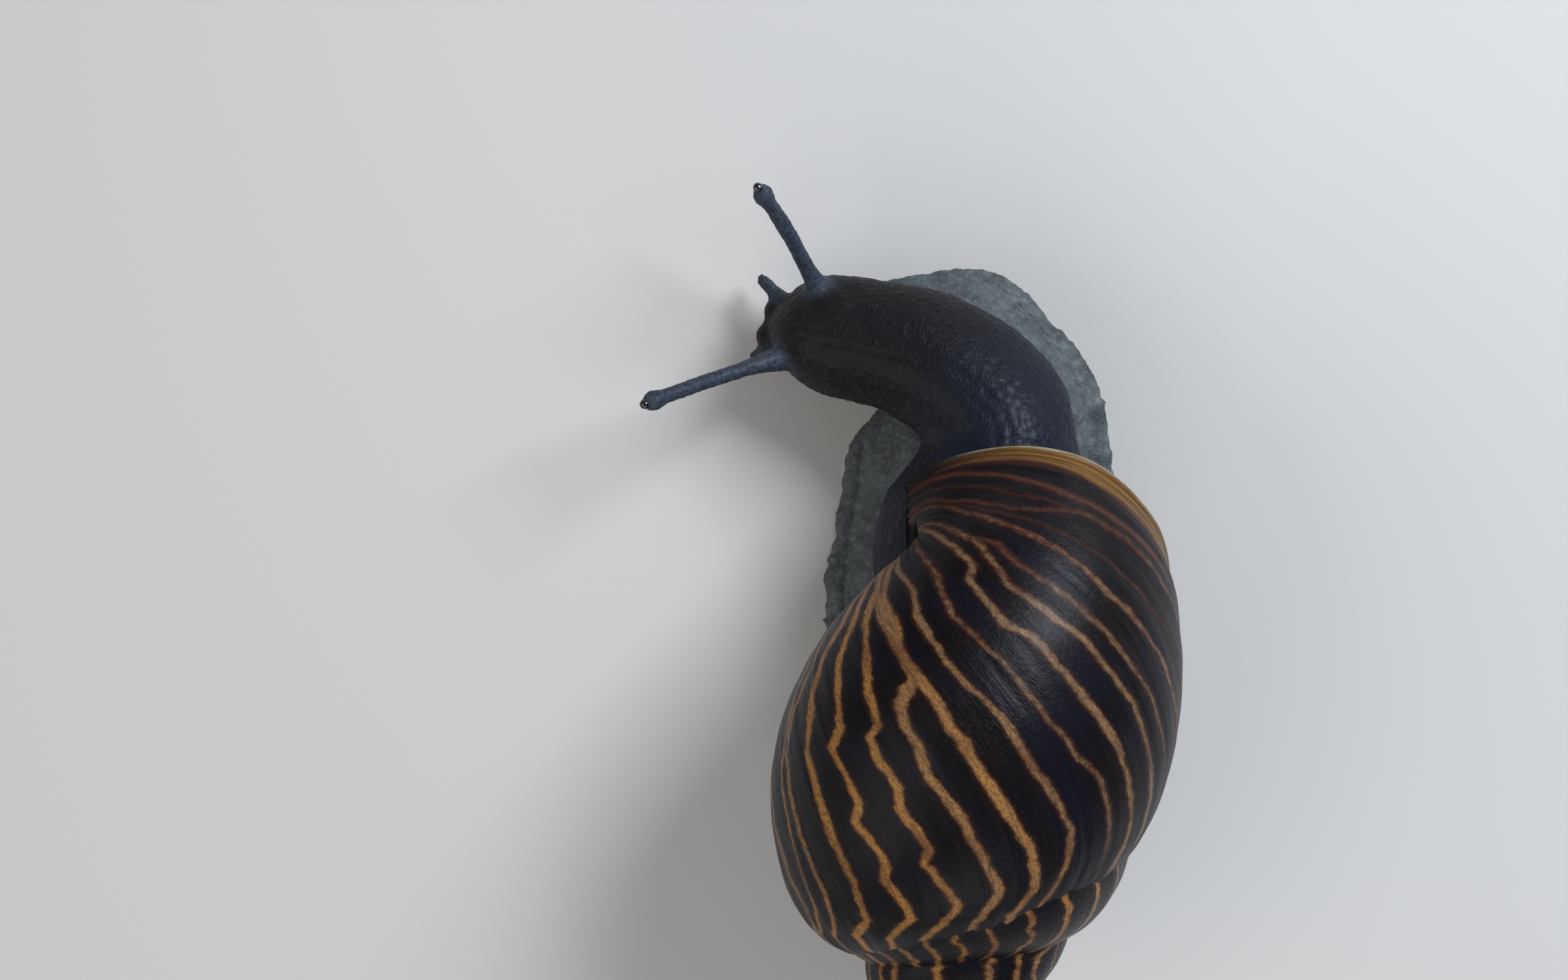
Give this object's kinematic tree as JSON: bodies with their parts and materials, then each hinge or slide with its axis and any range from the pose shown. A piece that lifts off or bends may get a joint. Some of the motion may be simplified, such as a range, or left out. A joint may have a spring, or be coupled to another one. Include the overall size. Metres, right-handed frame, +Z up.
{
  "type": "zebra snail model",
  "caption": "Still life-size model of a crawling land snail: tall striped spiral shell on a broad foot, dark neck turned left, tentacles out.",
  "frame": {"origin": "centre of the model's outline at the floor, on the plane of the sole", "axes": "+Z up, +Y the way the hind body faces, +X the snail's right"},
  "size_m": [0.0731, 0.1348, 0.0568],
  "materials": {
    "shell": "satin shell, near-black brown with golden zigzag stripes",
    "shell_apex": "worn brown first whorls",
    "shell_lip": "golden thin edge of the shell",
    "neck_skin": "moist, finely wrinkled, blue-black",
    "foot_skin": "moist, mottled blue-grey",
    "mantle": "moist, smooth, greyish buff",
    "eye": "glossy black"
  },
  "bodies": {
    "root": {"shell_apex": "shell_apex", "shell_upper_spire": "shell", "shell_lower_spire": "shell", "shell_penultimate_whorl": "shell", "shell_body_whorl": "shell", "shell_lip": "shell_lip", "foot_tail": "foot_skin", "foot_rear": "foot_skin", "foot_middle": "foot_skin", "foot_front": "foot_skin", "neck_root": "neck_skin", "neck_rear": "neck_skin", "neck_front": "neck_skin", "head": "neck_skin", "mouth_lobes": "neck_skin", "left_upper_tentacle_root": "neck_skin", "left_upper_tentacle_shaft": "neck_skin", "left_upper_tentacle_knob": "neck_skin", "left_lower_tentacle": "neck_skin", "right_upper_tentacle_root": "neck_skin", "right_upper_tentacle_shaft": "neck_skin", "right_upper_tentacle_knob": "neck_skin", "right_lower_tentacle": "neck_skin", "mantle_collar": "mantle", "left_eye": "eye", "right_eye": "eye"}
  },
  "joints": []
}
